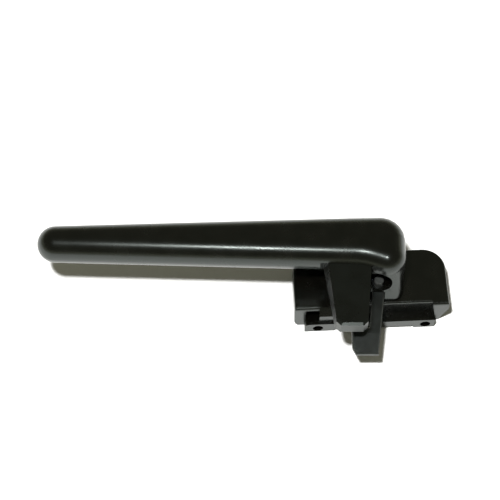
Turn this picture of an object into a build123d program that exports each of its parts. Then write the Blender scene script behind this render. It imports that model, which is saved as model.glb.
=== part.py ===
"""Cam-type locking handle for a casement window sash.

Millimetres, +Z up. The origin is on the mounting plane, under the axis that the handle turns about.
+X runs along the base. The front, where the base meets the sash and the nose reaches out, faces -Y.
"""
import os
from math import atan2, cos, degrees, hypot, radians, sin, sqrt, tan

from build123d import *

# ---- base casting -------------------------------------------------------------------------------
base_length = 54.6          # along X
base_back = 8.8             # back edge behind the handle's axis
base_front = 14.0           # front faces of the two end blocks, ahead of the axis
base_height = 11.5
base_corner_r = 8.0         # back corners in plan
base_edge_r = 1.0           # broken edges round the top
base_end_cut = 3.2          # slanting cut at the right end's foot, along X
base_end_cut_height = 8.0   # and its height
base_foot_cut = 1.2         # smaller cut at the left end's foot
base_foot_height = 2.4
boss_r = 15.0               # round boss at the back that carries the handle's axis
boss_y = 1.0
boss_blend_r = 4.0
boss_notch = 2.5            # how near the boss's radius its two notches lie

screw_spacing = 38.1        # between the two fixing holes
screw_hole_r = 1.8
screw_hole_depth = 12.0
screw_height = 2.2          # hole centres above the mounting plane

ledge_front = 16.8          # face that meets the sash
ledge_height = 5.0
ledge_step = 12.9           # face of the step behind the ledge
ledge_step_edge_r = 0.8
ledge_right = 22.4
ledge_pocket_right = 21.5   # where the step ends at the right block
ledge_left = -23.8
ledge_shoulder = 1.8        # rounding of the ledge's left end
ledge_relief_right = 15.0   # shallow relief under the ledge's middle
ledge_relief = 1.2
lip_front = 15.9            # sloping lip over the left of the ledge
lip_left = -18.6
lip_right = -13.0
lip_slope = 2.4
recess_left = -23.3         # recess in the front, beside the lip
recess_back = 10.4
recess_roof = 1.5
recess_corner_r = 1.5
core_depth = 8.3            # cored pockets under the two ends
core_inner = 13.2
core_wall = 2.6
core_end = 0.8
core_front = 2.6            # pockets start this far ahead of the axis

# ---- pivot stack --------------------------------------------------------------------------------
spindle_r = 3.0
running_gap = 0.04          # radial, where a piece turns on another
seat_gap = 0.02             # radial, where a piece is pressed in
face_gap = 0.05             # between faces that turn on each other
bush_wall = 1.6
bush_flange_r = 6.3
bush_flange = 0.8
bore_recess_r = 6.7         # recess under the base
bore_recess_depth = 4.6
thrust_washer_r = 6.2
thrust_washer_thick = 0.6
spindle_washer_r = 5.6
spindle_washer_thick = 0.8
disc_spring_height = 0.75
disc_sheet = 0.4
retaining_head_r = 3.3
retaining_head = 1.7
retaining_key_depth = 1.0
retaining_shank_r = 1.5
retaining_depth = 7.0
retaining_spare = 1.0       # bore past the screw's end
plug_thick = 0.8
pin_edge = 0.3              # broken edges of the pins and of the spindle's head

stop_pin_r = 0.9
stop_margin = 0.6           # groove's extra travel past each end, degrees
stop_groove_gap = 0.2       # round the stop pin in its groove
stop_circle_r = 9.1         # stop pin's distance from the axis
stop_pin_depth = 6.0
stop_pin_height = 2.1
stop_angle = 15.0           # its place when the lever lies along the base
turn_travel = 90.0          # handle's full travel
rest_turn = -2.6            # handle's angle as it lies, against the base

ball_r = 1.5
ball_circle_r = 10.3
ball_angle = 125.0
ball_top_gap = 0.1
detent_bore_r = 1.6
detent_wire_r = 0.22
detent_coils = 6
detent_screw_r = 1.9
detent_screw_length = 3.0
detent_screw_inset = 0.6

# ---- handle -------------------------------------------------------------------------------------
hub_gap = 0.4               # under the hub, above the base
lever_bottom = 18.5
lever_thick = 12.6
lever_round = 6.2           # rounding of the lever's edges, top and bottom
lever_line = 3.7            # lever's centre line, behind the axis
tip_r = 6.4
tip_x = -110.2              # centre of the round tip
lever_root_x = -8.0
lever_root_half = 9.5       # half the width at the root
core_side = 2.6             # wall beside the hollow under the lever
core_roof = 2.2             # wall over it
core_round = 3.2
core_gap = 2.4              # hollow stops this far short of the neck
rib_count = 4
rib_thick = 1.6
rib_inset = 3.0             # ribs stop this far above the lever's lowest line
hub_right = 11.9
hub_front = 8.6
hub_slant = 20.0            # hub's front edge against the lever's line, degrees
hub_back_rise = 0.2         # hub's back edge, behind the lever's
cup_depth = 0.5             # cups for the detent ball
hub_swell_left = -6.0       # where the hub's front starts to swell out of the lever's line
hub_swell_right = 0.0       # and where it runs straight again
hub_back_corner = 8.6
hub_front_corner = 6.6
skirt_top = lever_bottom + lever_thick / 2
skirt_right = 11.6
skirt_left = 0.0
skirt_front = 11.2
skirt_back = 12.6
skirt_corner = 3.4
skirt_back_corner = 7.6
neck_left = -14.0
neck_front = 8.0
neck_back = 12.4
neck_corner = 3.0

# ---- hook link ----------------------------------------------------------------------------------
sleeve_wall = 1.2
hook_thick = 3.0
hook_above_base = 0.7
eye_r = 6.4
eye_pocket_gap = 0.6        # round the eye, in the hub
hook_end = 33.4             # front of the hook, ahead of the axis
hook_foot = 9.5             # foot's length along the leg
hook_toe_x = -7.1
hook_toe_cut = 1.2
hook_leg_right_top = 4.7
hook_leg_left_top = 0.5
hook_leg_right_end = 1.95
hook_leg_left_end = -0.95
hook_fall_start = 17.0      # where the top starts to fall, ahead of the axis
hook_fall_middle = 26.0     # and where it falls faster
hook_fall_first = 0.45      # fallen by then
hook_fall = 1.5             # and at the hook's end
hook_edge = 0.4             # broken top edges
pin_x = 2.75
pin_y = -6.9
pin_r = 1.7
pin_seat_r = 1.2            # its end pressed in the hook
pin_height = 3.2            # above the hook
pin_gap = 0.35              # round the pin over its swing
window_x = 2.9              # round window in the hub's front
window_rise = 5.1           # its centre over the hook
window_r = 4.25
window_back = 3.4           # its back wall, ahead of the axis
slot_left = -2.2            # slot for the leg, under the window
slot_gap = 0.25
leg_top = 10.6              # where the leg's sides start, ahead of the axis
hook_swing_left = -8.0      # hook's travel to the left of its place at rest, degrees
hook_stop = 0.8             # and to the right, where it meets the slot
hook_spring_height = 0.8
hook_spring_r = 5.4

# ---- nose tongue --------------------------------------------------------------------------------
nose_bottom = 22.0
nose_thick = 5.0
nose_end = 29.2             # nose's tip, ahead of the axis
nose_root = 4.6
nose_left_root = -15.4
nose_left_end = -13.0
nose_right_root = -0.2
nose_right_end = -2.2
nose_draft = 1.3            # how far the left side leans out at the root's foot
nose_draft_end = 0.4
nose_corner_cut = 1.6
nose_edge = 1.0             # shallow slope round the tip, along the top
nose_edge_drop = 0.45       # and down the sides
tenon_left = -13.6
tenon_right = -6.2
tenon_back = 1.2
tenon_thick = 4.0
dowel_r = 1.1
dowel_xs = (-12.0, -8.6)
dowel_y = -2.0
dowel_bottom = 14.0
dowel_top = 26.6

socket_half = 2.6           # half the square socket in the hub
square_gap = 0.03
tang_top = 25.5
clamp_screw_r = 1.6
clamp_screw_height = 21.2
clamp_screw_length = 6.0

# ---- heights that follow ------------------------------------------------------------------------
hub_bottom = base_height + hub_gap
hook_bottom = base_height + hook_above_base
hook_top = hook_bottom + hook_thick
window_height = hook_top + window_rise
sleeve_bottom = base_height + thrust_washer_thick + face_gap
hub_ceiling = hook_top + hook_spring_height + 2 * face_gap
sleeve_r = spindle_r + running_gap + sleeve_wall
bush_r = spindle_r + running_gap + bush_wall
spindle_end = bore_recess_depth - disc_spring_height - 2 * face_gap
spindle_washer_bottom = spindle_end - spindle_washer_thick
lever_top = lever_bottom + lever_thick
hub_back = lever_line + lever_root_half + hub_back_rise
core_root_x = neck_left - core_gap
lever_taper = (lever_root_half - tip_r) / (lever_root_x - tip_x)
core_root_half = tip_r + lever_taper * (core_root_x - tip_x) - core_side
cup_centre = hub_bottom + cup_depth - ball_r - ball_top_gap

slant = radians(hub_slant)
hub_corner_start = (
    hub_right - hub_front_corner * (1 + sin(slant)), hub_front_corner * (1 - cos(slant)) - hub_front,
)


def hub_front_line(x):
    """Point on the hub's slanting front edge, in plan."""
    return (x, hub_corner_start[1] + (hub_corner_start[0] - x) * tan(slant))


swell_end = hub_front_line(hub_swell_right)
pin_circle_r = hypot(pin_x, pin_y)
pin_bearing = degrees(atan2(pin_y, pin_x))

handle_frame = Plane.XY.rotated((0, 0, rest_turn))


def handle_level(height):
    """Plane of the handle's own frame at a height."""
    return handle_frame.offset(height)


def handle_front(ahead):
    """Upright plane across the handle, this far ahead of the axis and facing forward."""
    foot = handle_frame.from_local_coords((0, -ahead, 0))
    return Plane(origin=foot, x_dir=handle_frame.x_dir, z_dir=-handle_frame.y_dir)


def handle_side(right):
    """Upright plane along the handle's depth, with its first axis pointing forward."""
    foot = handle_frame.from_local_coords((right, 0, 0))
    return Plane(origin=foot, x_dir=-handle_frame.y_dir, z_dir=-handle_frame.x_dir)


def on_circle(radius, angle):
    """Plan point at a radius and angle round the axis."""
    return (radius * cos(radians(angle)), radius * sin(radians(angle)))


def skirt_plan(left_front, corner_start, right, front_corner_y, front_corner, back, back_corner):
    """Hub's outline in plan, closed on the left under the lever."""
    with BuildSketch() as plan:
        with BuildLine():
            Line(left_front, corner_start)
            RadiusArc(corner_start, (right, front_corner_y), -front_corner)
            Line((right, front_corner_y), (right, back - back_corner))
            RadiusArc((right, back - back_corner), (right - back_corner, back), -back_corner)
            Line((right - back_corner, back), (left_front[0], back))
            Line((left_front[0], back), left_front)
        make_face()
    return plan.sketch


def nose_plan(lean_root, lean_end):
    """Nose in plan, from its root in the hub to the cut corners of its tip."""
    with BuildSketch() as plan:
        with BuildLine():
            left_end = nose_left_end - lean_end
            Polyline(
                (nose_left_root - lean_root, -nose_root), (left_end, nose_corner_cut - nose_end),
                (left_end + nose_corner_cut, -nose_end), (nose_right_end - nose_corner_cut, -nose_end),
                (nose_right_end, nose_corner_cut - nose_end), (nose_right_root, -nose_root), close=True,
            )
        make_face()
    return plan.sketch


def save(piece, name):
    """Name a finished piece and write it to its file."""
    piece.part.label = name
    export_step(piece.part, f"parts/{name}.step")


os.makedirs("parts", exist_ok=True)

# ---- base casting: block, boss, ledge with two screw bosses, bores and cored underside ----------
with BuildPart() as base_casting:
    with BuildSketch(Plane.XY) as base_plan:
        with Locations((0, (base_back - base_front) / 2)):
            Rectangle(base_length, base_back + base_front)
        fillet(base_plan.vertices().group_by(Axis.Y)[-1], base_corner_r)
        with Locations((0, boss_y)):
            Circle(boss_r)
        back_corners = base_plan.vertices().filter_by(lambda v: v.Y > boss_y)
        fillet(back_corners.filter_by(lambda v: abs(abs(v.X) - boss_r) < boss_notch), boss_blend_r)
    extrude(amount=base_height)
    # broken edges round the top, and the slanting feet of both ends
    fillet(base_casting.faces().sort_by(Axis.Z)[-1].edges(), base_edge_r)
    with BuildSketch(Plane.XZ.offset(ledge_front)):
        with BuildLine():
            Polyline(
                (base_length / 2, 0), (base_length / 2, base_end_cut_height),
                (base_length / 2 - base_end_cut, 0), close=True,
            )
        make_face()
        with BuildLine():
            Polyline(
                (-base_length / 2, 0), (-base_length / 2, base_foot_height),
                (base_foot_cut - base_length / 2, 0), close=True,
            )
        make_face()
    extrude(amount=-2 * base_length, mode=Mode.SUBTRACT)
    # step down to the ledge between the left lip and the right block
    with BuildSketch(Plane.XY.offset(ledge_height)):
        with BuildLine():
            Polyline(
                (lip_right, -ledge_front), (ledge_pocket_right, -ledge_front),
                (ledge_pocket_right, -ledge_step), (lip_right, -ledge_step), close=True,
            )
        make_face()
    extrude(amount=base_height, mode=Mode.SUBTRACT)
    step_edge = base_casting.faces().sort_by(Axis.Z)[-1].edges().filter_by(Axis.X).sort_by(Axis.Y)
    fillet(step_edge.filter_by(lambda e: abs(e.center().Y + ledge_step) < seat_gap), ledge_step_edge_r)
    # ledge with a rounded left end and a shallow relief, drawn on the face that meets the sash
    with BuildSketch(Plane.XZ.offset(ledge_front)):
        with BuildLine():
            Line((ledge_left + ledge_shoulder, ledge_height), (ledge_right, ledge_height))
            Line((ledge_right, ledge_height), (ledge_right, 0))
            Line((ledge_right, 0), (ledge_relief_right, 0))
            Line((ledge_relief_right, 0), (ledge_relief_right, ledge_relief))
            Line((ledge_relief_right, ledge_relief), (lip_right, ledge_relief))
            Line((lip_right, ledge_relief), (lip_right, 0))
            Line((lip_right, 0), (ledge_left, 0))
            Line((ledge_left, 0), (ledge_left, ledge_height - ledge_shoulder))
            RadiusArc(
                (ledge_left, ledge_height - ledge_shoulder), (ledge_left + ledge_shoulder, ledge_height),
                ledge_shoulder,
            )
        make_face()
    extrude(amount=-(ledge_front - ledge_step + seat_gap))
    # lip and, to its left, a recess that runs down to the ledge
    with BuildSketch(Plane.YZ.offset(lip_left)):
        with BuildLine():
            Polyline(
                (-ledge_step + seat_gap, ledge_relief), (-lip_front, ledge_relief),
                (-lip_front, base_height - lip_slope), (lip_slope - lip_front, base_height),
                (-ledge_step + seat_gap, base_height), close=True,
            )
        make_face()
    extrude(amount=lip_right - lip_left)
    with BuildSketch(Plane.YZ.offset(lip_left)):
        with BuildLine():
            Polyline(
                (-lip_front, base_height - lip_slope), (-lip_front, base_height),
                (lip_slope - lip_front, base_height), close=True,
            )
        make_face()
    extrude(amount=lip_right - lip_left, mode=Mode.SUBTRACT)
    with BuildSketch(Plane.XY.offset(ledge_height)) as recess_plan:
        with Locations(((recess_left + lip_left) / 2, -(ledge_front + recess_back) / 2)):
            Rectangle(lip_left - recess_left, ledge_front - recess_back)
        fillet(recess_plan.vertices().group_by(Axis.Y)[-1], recess_corner_r)
    extrude(amount=base_height - recess_roof - ledge_height, mode=Mode.SUBTRACT)
    # tapped holes for the two fixing screws
    with BuildSketch(Plane.XZ.offset(ledge_front)):
        with Locations((-screw_spacing / 2, screw_height), (screw_spacing / 2, screw_height)):
            Circle(screw_hole_r)
    extrude(amount=-screw_hole_depth, mode=Mode.SUBTRACT)
    # bore for the bush with the seat for its flange, and the recess under it
    with BuildSketch(Plane.XY):
        Circle(bush_r + seat_gap)
    extrude(amount=base_height, mode=Mode.SUBTRACT)
    with BuildSketch(Plane.XY.offset(base_height)):
        Circle(bush_flange_r + seat_gap)
    extrude(amount=-bush_flange, mode=Mode.SUBTRACT)
    with BuildSketch(Plane.XY):
        Circle(bore_recess_r)
    extrude(amount=bore_recess_depth, mode=Mode.SUBTRACT)
    # seats of the stop pin and of the detent
    with BuildSketch(Plane.XY.offset(base_height)):
        with Locations(on_circle(stop_circle_r, stop_angle)):
            Circle(stop_pin_r + seat_gap)
    extrude(amount=-stop_pin_depth, mode=Mode.SUBTRACT)
    with BuildSketch(Plane.XY):
        with Locations(on_circle(ball_circle_r, ball_angle)):
            Circle(detent_bore_r)
    extrude(amount=base_height, mode=Mode.SUBTRACT)
    with BuildSketch(Plane.XY):
        with Locations(on_circle(ball_circle_r, ball_angle)):
            Circle(detent_screw_r + seat_gap)
    extrude(amount=detent_screw_inset + detent_screw_length, mode=Mode.SUBTRACT)
    # cored pockets under both ends
    core_width = base_length / 2 - core_wall - core_inner
    core_length = base_back - core_wall + core_front
    with BuildSketch(Plane.XY):
        with Locations((core_inner + core_width / 2, 0), (-core_inner - core_width / 2, 0)):
            Rectangle(core_width - core_end, core_length)
    extrude(amount=core_depth, mode=Mode.SUBTRACT)
save(base_casting, "base_casting")

# ---- pivot stack --------------------------------------------------------------------------------
with BuildPart() as pivot_bush:
    with BuildSketch(Plane.XY.offset(bore_recess_depth)):
        Circle(bush_r)
    extrude(amount=base_height - bore_recess_depth)
    with BuildSketch(Plane.XY.offset(base_height)):
        Circle(bush_flange_r)
    extrude(amount=-bush_flange)
    with BuildSketch(Plane.XY):
        Circle(spindle_r + running_gap)
    extrude(amount=base_height, mode=Mode.SUBTRACT)
save(pivot_bush, "pivot_bush")

with BuildPart() as thrust_washer:
    with BuildSketch(Plane.XY.offset(base_height)):
        Circle(thrust_washer_r)
        Circle(spindle_r + 2 * running_gap, mode=Mode.SUBTRACT)
    extrude(amount=thrust_washer_thick)
save(thrust_washer, "thrust_washer")

with BuildPart() as stop_pin:
    with BuildSketch(Plane.XY.offset(base_height - stop_pin_depth)):
        with Locations(on_circle(stop_circle_r, stop_angle)):
            Circle(stop_pin_r)
    extrude(amount=stop_pin_depth + stop_pin_height)
    chamfer(stop_pin.edges().sort_by(Axis.Z)[-1], pin_edge)
save(stop_pin, "stop_pin")


def disc_spring(inner_r, outer_r, bottom, height):
    """Coned disc spring round the axis, narrow end up."""
    with BuildPart() as spring:
        with BuildSketch(Plane.XZ):
            with BuildLine():
                Polyline(
                    (inner_r, bottom + height - disc_sheet), (outer_r, bottom),
                    (outer_r, bottom + disc_sheet), (inner_r, bottom + height), close=True,
                )
            make_face()
        revolve(axis=Axis.Z)
    return spring


friction_spring = disc_spring(
    spindle_r + 4 * running_gap, spindle_washer_r, spindle_end + face_gap, disc_spring_height)
save(friction_spring, "friction_spring")

with BuildPart() as spindle_washer:
    with BuildSketch(Plane.XY.offset(spindle_washer_bottom)):
        Circle(spindle_washer_r)
        Circle(retaining_shank_r + running_gap, mode=Mode.SUBTRACT)
    extrude(amount=spindle_washer_thick)
save(spindle_washer, "spindle_washer")

with BuildPart() as pivot_spindle:
    with BuildSketch(Plane.XY.offset(spindle_end)):
        Circle(spindle_r)
    extrude(amount=hub_ceiling - spindle_end)
    with BuildSketch(handle_level(hub_ceiling)):
        Rectangle(2 * (socket_half - square_gap), 2 * (socket_half - square_gap))
    extrude(amount=tang_top - hub_ceiling)
    chamfer(pivot_spindle.faces().sort_by(Axis.Z)[-1].edges(), pin_edge)
    with BuildSketch(Plane.XY.offset(spindle_end)):
        Circle(retaining_shank_r + seat_gap)
    extrude(amount=retaining_depth + retaining_spare, mode=Mode.SUBTRACT)
save(pivot_spindle, "pivot_spindle")

with BuildPart() as retaining_screw:
    with BuildSketch(Plane.XY.offset(spindle_washer_bottom - retaining_head)):
        Circle(retaining_head_r)
    extrude(amount=retaining_head)
    fillet(retaining_screw.edges().sort_by(Axis.Z)[0], retaining_head / 2)
    with BuildSketch(Plane.XY.offset(spindle_washer_bottom)):
        Circle(retaining_shank_r)
    extrude(amount=spindle_washer_thick + retaining_depth)
    with BuildSketch(Plane.XY.offset(spindle_washer_bottom - retaining_head)):
        RegularPolygon(retaining_head_r / 2, 6)
    extrude(amount=retaining_key_depth, mode=Mode.SUBTRACT)
save(retaining_screw, "retaining_screw")

with BuildPart() as underside_plug:
    with BuildSketch(Plane.XY):
        Circle(bore_recess_r - seat_gap)
    extrude(amount=plug_thick)
save(underside_plug, "underside_plug")

# ---- detent: ball, coil spring and screw, in one bore of the base -------------------------------
ball_centre = base_height + hub_gap - ball_top_gap - ball_r
ball_plan = on_circle(ball_circle_r, ball_angle)
detent_screw_top = detent_screw_inset + detent_screw_length
coil_r = detent_bore_r - running_gap - detent_wire_r
coil_bottom = detent_screw_top + detent_wire_r + seat_gap
coil_top = ball_centre - sqrt((ball_r + detent_wire_r) ** 2 - coil_r**2) - seat_gap

with BuildPart() as detent_ball:
    with Locations((*ball_plan, ball_centre)):
        Sphere(ball_r)
save(detent_ball, "detent_ball")

with BuildPart() as detent_spring:
    with BuildLine(Plane((*ball_plan, coil_bottom))):
        coil = Helix((coil_top - coil_bottom) / detent_coils, coil_top - coil_bottom, coil_r)
    with BuildSketch(Plane(coil @ 0, z_dir=coil % 0)):
        Circle(detent_wire_r)
    sweep(is_frenet=True)
save(detent_spring, "detent_spring")

with BuildPart() as detent_screw:
    with BuildSketch(Plane.XY.offset(detent_screw_inset)):
        with Locations(ball_plan):
            Circle(detent_screw_r)
    extrude(amount=detent_screw_length)
    with BuildSketch(Plane.XY.offset(detent_screw_inset)):
        with Locations(ball_plan):
            RegularPolygon(detent_screw_r / 2, 6)
    extrude(amount=detent_screw_length / 2, mode=Mode.SUBTRACT)
save(detent_screw, "detent_screw")

# ---- handle casting -----------------------------------------------------------------------------
# window in the hub's front: a round one for the pin, a slot for the leg below it, and room inside
with BuildPart() as hook_window:
    with BuildSketch(handle_front(2 * skirt_front)):
        with Locations((window_x, window_height)):
            Circle(window_r)
    extrude(amount=-(2 * skirt_front - window_back))
    with BuildSketch(handle_level(0)):
        with BuildLine():
            Polyline(
                (hook_leg_right_top + slot_gap, -2 * skirt_front), (hook_leg_right_top + slot_gap, 0),
                (slot_left, 0), (slot_left, -2 * skirt_front), close=True,
            )
        make_face()
    extrude(amount=hook_top + slot_gap)
    with BuildSketch(handle_level(0)) as pin_room:
        with BuildLine():
            room_right = CenterArc((0, 0), pin_circle_r, pin_bearing + hook_stop, hook_swing_left - hook_stop)
        SlotArc(arc=room_right, height=2 * (pin_r + pin_gap))
    extrude(amount=window_height)

skirt_head = skirt_plan(
    hub_front_line(skirt_left), hub_corner_start, hub_right, hub_front_corner - hub_front,
    hub_front_corner, hub_back, hub_back_corner,
)
skirt_foot = skirt_plan(
    (skirt_left, -skirt_front), (skirt_right - skirt_corner, -skirt_front), skirt_right,
    skirt_corner - skirt_front, skirt_corner, skirt_back, skirt_back_corner,
)

# hollow that lightens the lever from below, left in bays by its cross ribs
with BuildPart() as lever_core:
    with BuildSketch(handle_level(0)):
        with BuildLine():
            core_tip_r = tip_r - core_side
            Polyline(
                (tip_x, lever_line + core_tip_r), (core_root_x, lever_line + core_root_half),
                (core_root_x, lever_line - core_root_half), (tip_x, lever_line - core_tip_r),
            )
            ThreePointArc(
                (tip_x, lever_line - core_tip_r), (tip_x - core_tip_r, lever_line),
                (tip_x, lever_line + core_tip_r),
            )
        make_face()
    extrude(amount=lever_top - core_roof)
    fillet(lever_core.faces().sort_by(Axis.Z)[-1].edges(), core_round)
    with BuildSketch(handle_level(lever_bottom + rib_inset)):
        with Locations(*[(tip_x * n / (rib_count + 1), lever_line) for n in range(1, rib_count + 1)]):
            Rectangle(rib_thick, 4 * tip_r)
    extrude(amount=lever_thick, mode=Mode.SUBTRACT)

with BuildPart() as handle_lever:
    # lever and hub in plan, then both edges rounded to a full bar
    with BuildSketch(handle_level(lever_bottom)):
        with BuildLine():
            back_root = (lever_root_x, lever_line + lever_root_half)
            swell_start = (
                hub_swell_left, lever_line - lever_root_half - lever_taper * (hub_swell_left - lever_root_x),
            )
            back_tip = (tip_x, lever_line + tip_r)
            front_tip = (tip_x, lever_line - tip_r)
            Line(back_root, back_tip)
            RadiusArc(back_tip, front_tip, -tip_r)
            Line(front_tip, swell_start)
            Spline(swell_start, swell_end, tangents=[(1, -lever_taper), (cos(slant), -sin(slant))])
            Line(swell_end, hub_corner_start)
            RadiusArc(hub_corner_start, (hub_right, hub_front_corner - hub_front), -hub_front_corner)
            Line((hub_right, hub_front_corner - hub_front), (hub_right, hub_back - hub_back_corner))
            RadiusArc(
                (hub_right, hub_back - hub_back_corner),
                (hub_right - hub_back_corner, hub_back), -hub_back_corner,
            )
            Line((hub_right - hub_back_corner, hub_back), back_root)
        make_face()
    extrude(amount=lever_thick)
    fillet(handle_lever.faces().sort_by(Axis.Z)[-1].edges(), lever_round)
    fillet(handle_lever.faces().sort_by(Axis.Z)[0].edges(), lever_round)
    # skirt: leans out from the hub's widest line to the base
    with BuildSketch(handle_level(skirt_top)):
        add(skirt_head)
    with BuildSketch(handle_level(hub_bottom)):
        add(skirt_foot)
    loft(ruled=True)
    # neck under the lever's root
    with BuildSketch(handle_level(hub_bottom)) as neck_plan:
        with Locations((neck_left / 2, (neck_back - neck_front) / 2)):
            Rectangle(-neck_left, neck_back + neck_front)
        fillet(neck_plan.vertices(), neck_corner)
    extrude(amount=lever_bottom + lever_round - hub_bottom)
    add(lever_core.part, mode=Mode.SUBTRACT)
    # window for the hook's pin, room for its eye, and the groove that the stop pin runs in
    add(hook_window.part, mode=Mode.SUBTRACT)
    with BuildSketch(handle_level(0)):
        Circle(eye_r + eye_pocket_gap)
    extrude(amount=hub_ceiling, mode=Mode.SUBTRACT)
    with BuildSketch(handle_level(hub_bottom)):
        with BuildLine():
            stop_track = CenterArc(
                (0, 0), stop_circle_r, stop_angle - stop_margin, turn_travel + 2 * stop_margin,
            )
        SlotArc(arc=stop_track, height=2 * (stop_pin_r + stop_groove_gap))
    extrude(amount=stop_pin_height - hub_gap + stop_groove_gap, mode=Mode.SUBTRACT)
    # cups for the detent ball, at both ends of the travel
    for turn in (0, turn_travel):
        with Locations(handle_level(cup_centre)):
            with Locations(on_circle(ball_circle_r, ball_angle + turn)):
                Sphere(ball_r + ball_top_gap, mode=Mode.SUBTRACT)
    # square socket for the spindle and the hole of the screw that clamps it
    with BuildSketch(handle_level(0)):
        Rectangle(2 * socket_half, 2 * socket_half)
    extrude(amount=tang_top + seat_gap, mode=Mode.SUBTRACT)
    with BuildSketch(handle_front(0)):
        with Locations((0, clamp_screw_height)):
            Circle(clamp_screw_r + seat_gap)
    extrude(amount=-2 * hub_back, mode=Mode.SUBTRACT)
    # slot for the nose's tenon, seat for its root and bores of its dowels
    with BuildSketch(handle_level(nose_bottom + (nose_thick - tenon_thick) / 2 - seat_gap)):
        with BuildLine():
            Polyline(
                (tenon_left - seat_gap, -skirt_front), (tenon_right + seat_gap, -skirt_front),
                (tenon_right + seat_gap, tenon_back + seat_gap),
                (tenon_left - seat_gap, tenon_back + seat_gap), close=True,
            )
        make_face()
    extrude(amount=tenon_thick + 2 * seat_gap, mode=Mode.SUBTRACT)
    with BuildSketch(handle_level(nose_bottom - seat_gap)):
        with BuildLine():
            Polyline(
                (nose_left_root - 2 * nose_draft, -2 * skirt_front),
                (nose_right_root + seat_gap, -2 * skirt_front),
                (nose_right_root + seat_gap, -nose_root + seat_gap),
                (nose_left_root - 2 * nose_draft, -nose_root + seat_gap), close=True,
            )
        make_face()
    extrude(amount=nose_thick + 2 * seat_gap, mode=Mode.SUBTRACT)
    with BuildSketch(handle_level(0)):
        with Locations(*[(x, dowel_y) for x in dowel_xs]):
            Circle(dowel_r + seat_gap)
    extrude(amount=dowel_top + seat_gap, mode=Mode.SUBTRACT)
save(handle_lever, "handle_lever")

with BuildPart() as spindle_clamp_screw:
    with BuildSketch(handle_front(-socket_half - face_gap)):
        with Locations((0, clamp_screw_height)):
            Circle(clamp_screw_r)
    extrude(amount=-clamp_screw_length)
    with BuildSketch(handle_front(-socket_half - face_gap - clamp_screw_length)):
        with Locations((0, clamp_screw_height)):
            RegularPolygon(clamp_screw_r / 2, 6)
    extrude(amount=clamp_screw_length / 3, mode=Mode.SUBTRACT)
save(spindle_clamp_screw, "spindle_clamp_screw")

# ---- nose tongue: tapered wedge with a tenon, held by two dowels --------------------------------
nose_foot = nose_plan(nose_draft, nose_draft_end)
nose_head = nose_plan(0, 0)

with BuildPart() as nose_tongue:
    with BuildSketch(handle_level(nose_bottom)):
        add(nose_foot)
    with BuildSketch(handle_level(nose_bottom + nose_thick)):
        add(nose_head)
    loft(ruled=True)
    nose_top = nose_tongue.faces().sort_by(Axis.Z)[-1]
    rim = nose_top.edges()
    tip_rim = rim.filter_by(lambda e: handle_frame.to_local_coords(e.center()).Y < nose_corner_cut - nose_end)
    chamfer(tip_rim, nose_edge, nose_edge_drop, reference=nose_top)
    with BuildSketch(handle_level(nose_bottom + (nose_thick - tenon_thick) / 2)):
        with BuildLine():
            Polyline(
                (tenon_left, -2 * nose_root), (tenon_right, -2 * nose_root),
                (tenon_right, tenon_back), (tenon_left, tenon_back), close=True,
            )
        make_face()
    extrude(amount=tenon_thick)
    with BuildSketch(handle_level(0)):
        with Locations(*[(x, dowel_y) for x in dowel_xs]):
            Circle(dowel_r + seat_gap)
    extrude(amount=lever_top, mode=Mode.SUBTRACT)
save(nose_tongue, "nose_tongue")

with BuildPart() as nose_dowels:
    with BuildSketch(handle_level(dowel_bottom)):
        with Locations(*[(x, dowel_y) for x in dowel_xs]):
            Circle(dowel_r)
    extrude(amount=dowel_top - dowel_bottom)
save(nose_dowels, "nose_dowels")

# ---- hook link: eye on a sleeve round the spindle, leg, foot and the pin that the hub drags -----
with BuildPart() as hook_sleeve:
    with BuildSketch(Plane.XY.offset(sleeve_bottom)):
        Circle(sleeve_r)
        Circle(spindle_r + seat_gap, mode=Mode.SUBTRACT)
    extrude(amount=hub_ceiling - sleeve_bottom)
save(hook_sleeve, "hook_sleeve")

with BuildPart() as hook_link:
    with BuildSketch(handle_level(hook_bottom)):
        Circle(eye_r)
        with BuildLine():
            Polyline(
                (hook_leg_left_top, 0), (hook_leg_left_top, -leg_top),
                (hook_leg_left_end, hook_foot - hook_end), (hook_toe_x, hook_foot - hook_end),
                (hook_toe_x, -hook_end + 2 * hook_toe_cut), (hook_toe_x + hook_toe_cut, -hook_end),
                (hook_leg_right_end, -hook_end), (hook_leg_right_top, -leg_top),
                (hook_leg_right_top, 0), close=True,
            )
        make_face()
        Circle(sleeve_r + running_gap, mode=Mode.SUBTRACT)
    extrude(amount=hook_thick)
    # top that falls away towards the foot in two slopes, then its broken edges
    with BuildSketch(handle_side(0)):
        with BuildLine():
            Polyline(
                (hook_fall_start, hook_top), (hook_fall_middle, hook_top - hook_fall_first),
                (hook_end, hook_top - hook_fall), (hook_end, hook_top + hook_fall),
                (hook_fall_start, hook_top + hook_fall), close=True,
            )
        make_face()
    extrude(amount=2 * hook_end, both=True, mode=Mode.SUBTRACT)
    top_edges = hook_link.edges().filter_by(
        lambda e: e.center().Z > hook_top - hook_fall - seat_gap and e.center().Y < -leg_top
    )
    chamfer(top_edges.filter_by(lambda e: abs(e.tangent_at(0.5).Z) < 0.5), hook_edge)
    with BuildSketch(handle_level(hook_bottom)):
        with Locations((pin_x, pin_y)):
            Circle(pin_seat_r + seat_gap)
    extrude(amount=hook_thick, mode=Mode.SUBTRACT)
save(hook_link, "hook_link")

with BuildPart() as hook_pin:
    with BuildSketch(handle_level(hook_bottom)):
        with Locations((pin_x, pin_y)):
            Circle(pin_seat_r)
    extrude(amount=hook_thick)
    with BuildSketch(handle_level(hook_top)):
        with Locations((pin_x, pin_y)):
            Circle(pin_r)
    extrude(amount=pin_height)
    chamfer(hook_pin.edges().sort_by(Axis.Z)[-1], pin_edge)
save(hook_pin, "hook_pin")

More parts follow.
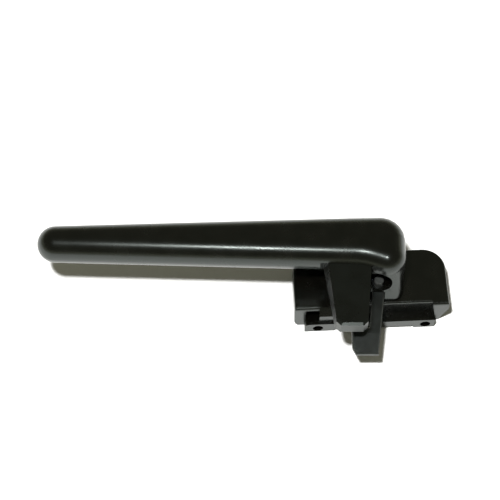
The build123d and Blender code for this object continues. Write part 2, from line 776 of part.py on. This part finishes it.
hook_spring = disc_spring(sleeve_r + running_gap, hook_spring_r, hook_top + face_gap, hook_spring_height)
save(hook_spring, "hook_spring")
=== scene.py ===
# %% [markdown]
# # A casement sash handle, finished in black
# The object is a die-cast locking handle for a window sash. It lies on its flat underside on a
# pale table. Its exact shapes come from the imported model, and modelling them again would only
# bring in errors, so this lesson is about finish, light and view: semi-gloss black powder coat,
# enamelled steel, zinc plate, bronze and nylon.

# %% Load the frame
import math

import bpy
from mathutils import Matrix, Vector

MM = 0.001

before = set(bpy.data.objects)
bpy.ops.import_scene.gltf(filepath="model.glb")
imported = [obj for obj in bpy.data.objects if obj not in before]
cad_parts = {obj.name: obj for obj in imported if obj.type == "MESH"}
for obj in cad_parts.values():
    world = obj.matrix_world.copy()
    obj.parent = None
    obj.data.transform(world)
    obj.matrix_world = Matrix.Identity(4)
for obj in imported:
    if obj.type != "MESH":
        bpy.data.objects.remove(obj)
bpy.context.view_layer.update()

# %% [markdown]
# ## The finishes' building blocks
# A shader graph is easier to read when small helpers add its nodes. The other way, one long graph
# for each finish, would repeat the same five nodes twenty times. Every texture is laid out in
# object coordinates, in metres, so a grain of coating has the same size on every piece.

# %% An empty material and a way to put it on pieces
def new_material(name):
    """A material that holds only its surface shader."""
    material = bpy.data.materials.new(name)
    material.use_nodes = True
    tree = material.node_tree
    tree.nodes.clear()
    output = tree.nodes.new("ShaderNodeOutputMaterial")
    shader = tree.nodes.new("ShaderNodeBsdfPrincipled")
    tree.links.new(shader.outputs["BSDF"], output.inputs["Surface"])
    return material, tree, shader


def dress(material, *names):
    """Gives CAD pieces a finish in every slot they have."""
    for name in names:
        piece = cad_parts[name]
        if not piece.material_slots:
            piece.data.materials.append(material)
        for slot in piece.material_slots:
            slot.material = material
    print(material.name, "on", ", ".join(names))


# %% Fields: noise, specks and rings
WAVE_FACTOR = 20.0           # a wave texture turns its coordinates into this many radians a unit
SPECK_CORE = 0.04            # a speck is full up to here, in cells of the pattern
SPECK_EDGE = 0.16            # and gone from here on


def object_place(tree):
    """Object coordinates, in metres."""
    return tree.nodes.new("ShaderNodeTexCoord").outputs["Object"]


def spread(tree, value, low, high, low_at=0.35, high_at=0.65):
    """Maps a field from one range of values to another."""
    mapper = tree.nodes.new("ShaderNodeMapRange")
    mapper.inputs["From Min"].default_value = low_at
    mapper.inputs["From Max"].default_value = high_at
    mapper.inputs["To Min"].default_value = low
    mapper.inputs["To Max"].default_value = high
    tree.links.new(value, mapper.inputs["Value"])
    return mapper.outputs["Result"]


def noise_field(tree, grain, detail=2.0):
    """Cloudy noise whose blobs are about grain metres across."""
    noise = tree.nodes.new("ShaderNodeTexNoise")
    noise.inputs["Scale"].default_value = 1.0 / grain
    noise.inputs["Detail"].default_value = detail
    tree.links.new(object_place(tree), noise.inputs["Vector"])
    return noise.outputs["Fac"]


def speck_field(tree, spacing):
    """Rises to one at scattered points about spacing metres apart."""
    cells = tree.nodes.new("ShaderNodeTexVoronoi")
    cells.inputs["Scale"].default_value = 1.0 / spacing
    tree.links.new(object_place(tree), cells.inputs["Vector"])
    return spread(tree, cells.outputs["Distance"], 1.0, 0.0, SPECK_CORE, SPECK_EDGE)


def turned_field(tree, pitch):
    """Rings round the handle's axis, pitch metres apart, as a lathe leaves them."""
    rings = tree.nodes.new("ShaderNodeTexWave")
    rings.wave_type = "RINGS"
    rings.rings_direction = "Z"
    rings.inputs["Scale"].default_value = 2.0 * math.pi / (pitch * WAVE_FACTOR)
    rings.inputs["Distortion"].default_value = 0.6
    tree.links.new(object_place(tree), rings.inputs["Vector"])
    return rings.outputs["Fac"]


# %% What a field does to a surface
def tint(tree, shader, field, first, second):
    """Colours a surface between two colours by a field."""
    mixer = tree.nodes.new("ShaderNodeMix")
    mixer.data_type = "RGBA"
    mixer.inputs["A"].default_value = (*first, 1.0)
    mixer.inputs["B"].default_value = (*second, 1.0)
    tree.links.new(field, mixer.inputs["Factor"])
    tree.links.new(mixer.outputs["Result"], shader.inputs["Base Color"])


def dull(tree, shader, field, glossy, matt):
    """Lets the gloss wander between two roughnesses by a field."""
    tree.links.new(spread(tree, field, glossy, matt), shader.inputs["Roughness"])


def emboss(tree, shader, *layers):
    """Bumps from several fields, each with its depth in metres."""
    normal = None
    for field, depth in layers:
        bump = tree.nodes.new("ShaderNodeBump")
        bump.inputs["Distance"].default_value = depth
        tree.links.new(field, bump.inputs["Height"])
        if normal:
            tree.links.new(normal, bump.inputs["Normal"])
        normal = bump.outputs["Normal"]
    tree.links.new(normal, shader.inputs["Normal"])


# %% [markdown]
# ## Black powder coat
# The castings are coated with a baked powder: almost black with a faint warm cast, semi-gloss,
# with a fine orange-peel skin that softens its reflections. A flat black with one roughness would
# look like new plastic. Three fields keep it real: a slow cloud in colour and gloss, the peel as
# shallow bumps, and rare specks of dust caught in the film. The coat mirrors a little more than
# plain plastic, and faintly green, which is set on the shader itself.

# %% Powder coat for the castings
COAT_MIRROR = 0.72                      # 0.5 is plain plastic
COAT_TINT = (0.90, 1.0, 0.95, 1.0)
CLOUD_SIZE = 7 * MM
PEEL_SIZE = 0.9 * MM
FINE_PEEL_SIZE = 0.25 * MM
SPECK_SPACING = 2.6 * MM


def powder_coat(name, colour, worn_colour, gloss, peel):
    """Almost black coating with a roughness near gloss and a peel of this depth in metres."""
    material, tree, shader = new_material(name)
    cloud = noise_field(tree, CLOUD_SIZE, detail=4.0)
    tint(tree, shader, spread(tree, cloud, 0.0, 1.0), colour, worn_colour)
    dull(tree, shader, cloud, gloss - 0.02, gloss + 0.03)
    emboss(
        tree, shader,
        (noise_field(tree, PEEL_SIZE), peel),
        (noise_field(tree, FINE_PEEL_SIZE, detail=1.0), peel / 5),
        (speck_field(tree, SPECK_SPACING), peel),
    )
    shader.inputs["Specular IOR Level"].default_value = COAT_MIRROR
    shader.inputs["Specular Tint"].default_value = COAT_TINT
    return material


casting_black = powder_coat(
    "casting_black", (0.0007, 0.0006, 0.0004), (0.0015, 0.0013, 0.0009), 0.25, 0.003 * MM
)
dress(casting_black, "base_casting", "handle_lever")
nose_black = powder_coat(
    "nose_black", (0.0007, 0.0008, 0.0007), (0.0014, 0.0016, 0.0014), 0.28, 0.005 * MM
)
dress(nose_black, "nose_tongue")

# %% [markdown]
# ## Enamelled steel hook
# The hook is cut from thick sheet, tumbled and dipped in black enamel. Its film is thinner and
# duller than the powder coat, so the broad faces look grey where they lean to the light. Marks of
# the tumbling run in no direction, so a plain noise does better here than brushed lines.

# %% Enamel for the hook
ENAMEL_MIRROR = 0.8
ENAMEL_TINT = (0.92, 1.0, 0.98, 1.0)
TUMBLE_SIZE = 0.6 * MM
DENT_SIZE = 5 * MM


def enamel(name, colour, worn_colour, gloss, peel):
    """Thin dull film over small marks of tumbling and broad shallow dents."""
    material, tree, shader = new_material(name)
    cloud = noise_field(tree, 4 * MM, detail=5.0)
    tint(tree, shader, spread(tree, cloud, 0.0, 1.0), colour, worn_colour)
    dull(tree, shader, noise_field(tree, 1.5 * MM), gloss - 0.05, gloss + 0.05)
    emboss(
        tree, shader,
        (noise_field(tree, TUMBLE_SIZE, detail=3.0), peel),
        (noise_field(tree, DENT_SIZE), 4 * peel),
    )
    shader.inputs["Specular IOR Level"].default_value = ENAMEL_MIRROR
    shader.inputs["Specular Tint"].default_value = ENAMEL_TINT
    return material


hook_enamel = enamel(
    "hook_enamel", (0.0024, 0.0028, 0.0026), (0.0058, 0.0068, 0.0063), 0.42, 0.008 * MM
)
dress(hook_enamel, "hook_link")

# %% [markdown]
# ## Plated and bare metals
# The dowels, the stop pin, the spindle, its screw and its washer are steel with a zinc plate,
# grey and slightly milky. The hook's pin is darker, as oxidised steel is, and only half a metal to
# the shader. Springs are blued, the small set screws have black oxide, the ball is polished and the
# bush is bronze. One function makes them all, because they differ only in colour, gloss and in how
# the surface was cut: turned pieces get rings, the rest a grain.

# %% Metals
TURNED_PITCH = 1.5708 * MM


def metal(name, colour, stained, gloss, turned=False, depth=0.003 * MM, metallic=1.0):
    """Metal with stains and a grain, or with rings where it was turned."""
    material, tree, shader = new_material(name)
    cloud = noise_field(tree, 2.5 * MM, detail=5.0)
    tint(tree, shader, spread(tree, cloud, 0.0, 1.0), colour, stained)
    grain = noise_field(tree, 0.4 * MM, detail=3.0)
    dull(tree, shader, grain, gloss - 0.06, gloss + 0.06)
    if turned:
        emboss(tree, shader, (turned_field(tree, TURNED_PITCH), depth), (grain, depth))
    else:
        emboss(tree, shader, (grain, depth))
    shader.inputs["Metallic"].default_value = metallic
    return material


pin_steel = metal(
    "pin_steel", (0.060, 0.064, 0.060), (0.038, 0.040, 0.038), 0.34, metallic=0.5
)
dress(pin_steel, "hook_pin")
zinc_plate = metal("zinc_plate", (0.46, 0.47, 0.48), (0.34, 0.35, 0.37), 0.30, turned=True)
dress(zinc_plate, "pivot_spindle", "spindle_washer", "retaining_screw", "stop_pin", "nose_dowels")
blued_spring = metal("blued_spring", (0.10, 0.11, 0.15), (0.16, 0.14, 0.12), 0.28)
dress(blued_spring, "friction_spring", "detent_spring", "hook_spring")
black_oxide = metal("black_oxide", (0.030, 0.030, 0.032), (0.055, 0.050, 0.048), 0.42)
dress(black_oxide, "spindle_clamp_screw", "detent_screw")
ball_polish = metal("ball_polish", (0.62, 0.62, 0.63), (0.55, 0.55, 0.56), 0.12, depth=0.0005 * MM)
dress(ball_polish, "detent_ball")
oiled_bronze = metal("oiled_bronze", (0.45, 0.27, 0.12), (0.30, 0.17, 0.08), 0.36, turned=True)
dress(oiled_bronze, "pivot_bush")

# %% [markdown]
# ## Moulded nylon
# The thrust washer, the hook's sleeve and the plug under the base are nylon. Nylon lets a little
# light in, which subsurface scattering gives, and its skin is matt with a fine mould texture.

# %% Nylon
def nylon(name, colour, shade, scatter):
    """Moulded nylon that lets in light by the weight scatter."""
    material, tree, shader = new_material(name)
    tint(tree, shader, spread(tree, noise_field(tree, 3 * MM), 0.0, 1.0), colour, shade)
    grain = noise_field(tree, 0.3 * MM, detail=3.0)
    dull(tree, shader, grain, 0.42, 0.55)
    emboss(tree, shader, (grain, 0.006 * MM))
    shader.inputs["Subsurface Weight"].default_value = scatter
    shader.inputs["Subsurface Scale"].default_value = 1.0 * MM
    return material


white_nylon = nylon("white_nylon", (0.62, 0.60, 0.54), (0.55, 0.53, 0.47), 0.25)
dress(white_nylon, "thrust_washer")
black_nylon = nylon("black_nylon", (0.010, 0.010, 0.010), (0.016, 0.016, 0.015), 0.0)
dress(black_nylon, "hook_sleeve", "underside_plug")

# %% [markdown]
# ## A pale table
# The handle lies on a plain pale surface. It is lit so strongly that it shows white, and it is
# also what the upright faces of the black parts mirror, which is why they look grey while the
# tops, which mirror the dim room above, stay black.

# %% Table
TABLE_HALF = 3.0             # far beyond the view, so that no edge of it shows


def pale_table():
    """Flat square under the handle, at the height of its underside."""
    mesh = bpy.data.meshes.new("table_top")
    corners = [(-TABLE_HALF, -TABLE_HALF, 0), (TABLE_HALF, -TABLE_HALF, 0),
               (TABLE_HALF, TABLE_HALF, 0), (-TABLE_HALF, TABLE_HALF, 0)]
    mesh.from_pydata(corners, [], [(0, 1, 2, 3)])
    table = bpy.data.objects.new("table_top", mesh)
    bpy.context.scene.collection.objects.link(table)
    material, tree, shader = new_material("table_white")
    tint(tree, shader, noise_field(tree, 20 * MM), (0.84, 0.84, 0.83), (0.88, 0.88, 0.87))
    shader.inputs["Roughness"].default_value = 0.7
    mesh.materials.append(material)
    return table


print("table", pale_table().name)

# %% [markdown]
# ## Light
# Two lamps stand in front, high up. The first lights the table and throws the soft-edged shadow.
# It is hidden from reflections, because a second, smaller one draws the long highlight on the
# lever: with one lamp for both, the highlight would fall near the tip instead of the middle. The
# room is dim above and brighter in a band near the horizon, and its warm light fills the shadows.

# %% Lamps
KEY_PLACE = (-0.18, -0.25, 0.90)        # metres
KEY_SIZE = 0.07                         # metres; it sets how soft the shadow's edge is
KEY_POWER = 17.0                        # watts
GLINT_PLACE = (-0.056, -0.178, 0.60)    # chosen so that the lever's front edge mirrors it
GLINT_SIZE = 0.035
GLINT_POWER = 0.95


def softbox(name, place, target, size, power):
    """Square lamp at a place, aimed at a target."""
    lamp = bpy.data.lights.new(name, "AREA")
    lamp.size = size
    lamp.energy = power
    holder = bpy.data.objects.new(name, lamp)
    holder.location = place
    aim = Vector(target) - Vector(place)
    holder.rotation_euler = aim.to_track_quat("-Z", "Y").to_euler()
    bpy.context.scene.collection.objects.link(holder)
    return holder


key = softbox("key", KEY_PLACE, (-0.03, 0.0, 0.0), KEY_SIZE, KEY_POWER)
key.visible_glossy = False
glint = softbox("glint", GLINT_PLACE, (-0.055, 0.0, 0.02), GLINT_SIZE, GLINT_POWER)
glint.visible_diffuse = False
print("lamps", key.name, glint.name)

# %% The room's own light
BAND_TOP = 0.30              # sine of the elevation where the brighter band ends
BAND_LIGHT = 0.60
CEILING_LIGHT = 0.135
ROOM_COLOUR = (1.0, 0.98, 0.74, 1.0)


def room_light():
    """World that is dim above and brighter in a band at the horizon."""
    world = bpy.data.worlds.new("studio")
    world.use_nodes = True
    tree = world.node_tree
    background = tree.nodes["Background"]
    direction = tree.nodes.new("ShaderNodeTexCoord")
    height = tree.nodes.new("ShaderNodeSeparateXYZ")
    tree.links.new(direction.outputs["Generated"], height.inputs["Vector"])
    light = spread(tree, height.outputs["Z"], BAND_LIGHT, CEILING_LIGHT, BAND_TOP / 2, BAND_TOP)
    tree.links.new(light, background.inputs["Strength"])
    background.inputs["Color"].default_value = ROOM_COLOUR
    bpy.context.scene.world = world
    return world


print("room", room_light().name)

# %% [markdown]
# ## View
# The camera looks down steeply from the front, almost square to the base, through a long lens. It
# is placed by where the origin falls in the view, so its direction, its distance and what it frames
# can each be set without upsetting the others. The Standard view transform keeps black deep, where
# AgX would lift it to grey.

# %% Camera
VIEW_WIDTH = 180.505 * MM    # width of the view at the origin
ORIGIN_RIGHT = 42.347 * MM   # the origin falls this far right of the view's centre
ORIGIN_UP = -13.574 * MM     # and this far above it
SENSOR = 36.0                # millimetres, as Blender wants


def studio_camera(elevation, azimuth, distance):
    """Camera this far from the origin, at an elevation and azimuth in degrees."""
    tilt, turn = math.radians(elevation), math.radians(azimuth)
    back = Vector(
        (math.sin(turn) * math.cos(tilt), -math.cos(turn) * math.cos(tilt), math.sin(tilt))
    )
    right = Vector((math.cos(turn), math.sin(turn), 0.0))
    above = back.cross(right)
    lens = bpy.data.cameras.new("studio_camera")
    lens.sensor_width = SENSOR
    lens.lens = SENSOR * distance / VIEW_WIDTH
    lens.clip_start = 0.01
    eye = bpy.data.objects.new("studio_camera", lens)
    place = back * distance - right * ORIGIN_RIGHT - above * ORIGIN_UP
    axes = Matrix((right, above, back)).transposed()
    eye.matrix_world = Matrix.Translation(place) @ axes.to_4x4()
    bpy.context.scene.collection.objects.link(eye)
    bpy.context.scene.camera = eye
    return eye


bpy.context.scene.view_settings.view_transform = "Standard"
camera = studio_camera(60.0, -2.64, 0.600)
print("lens", round(camera.data.lens), "mm")
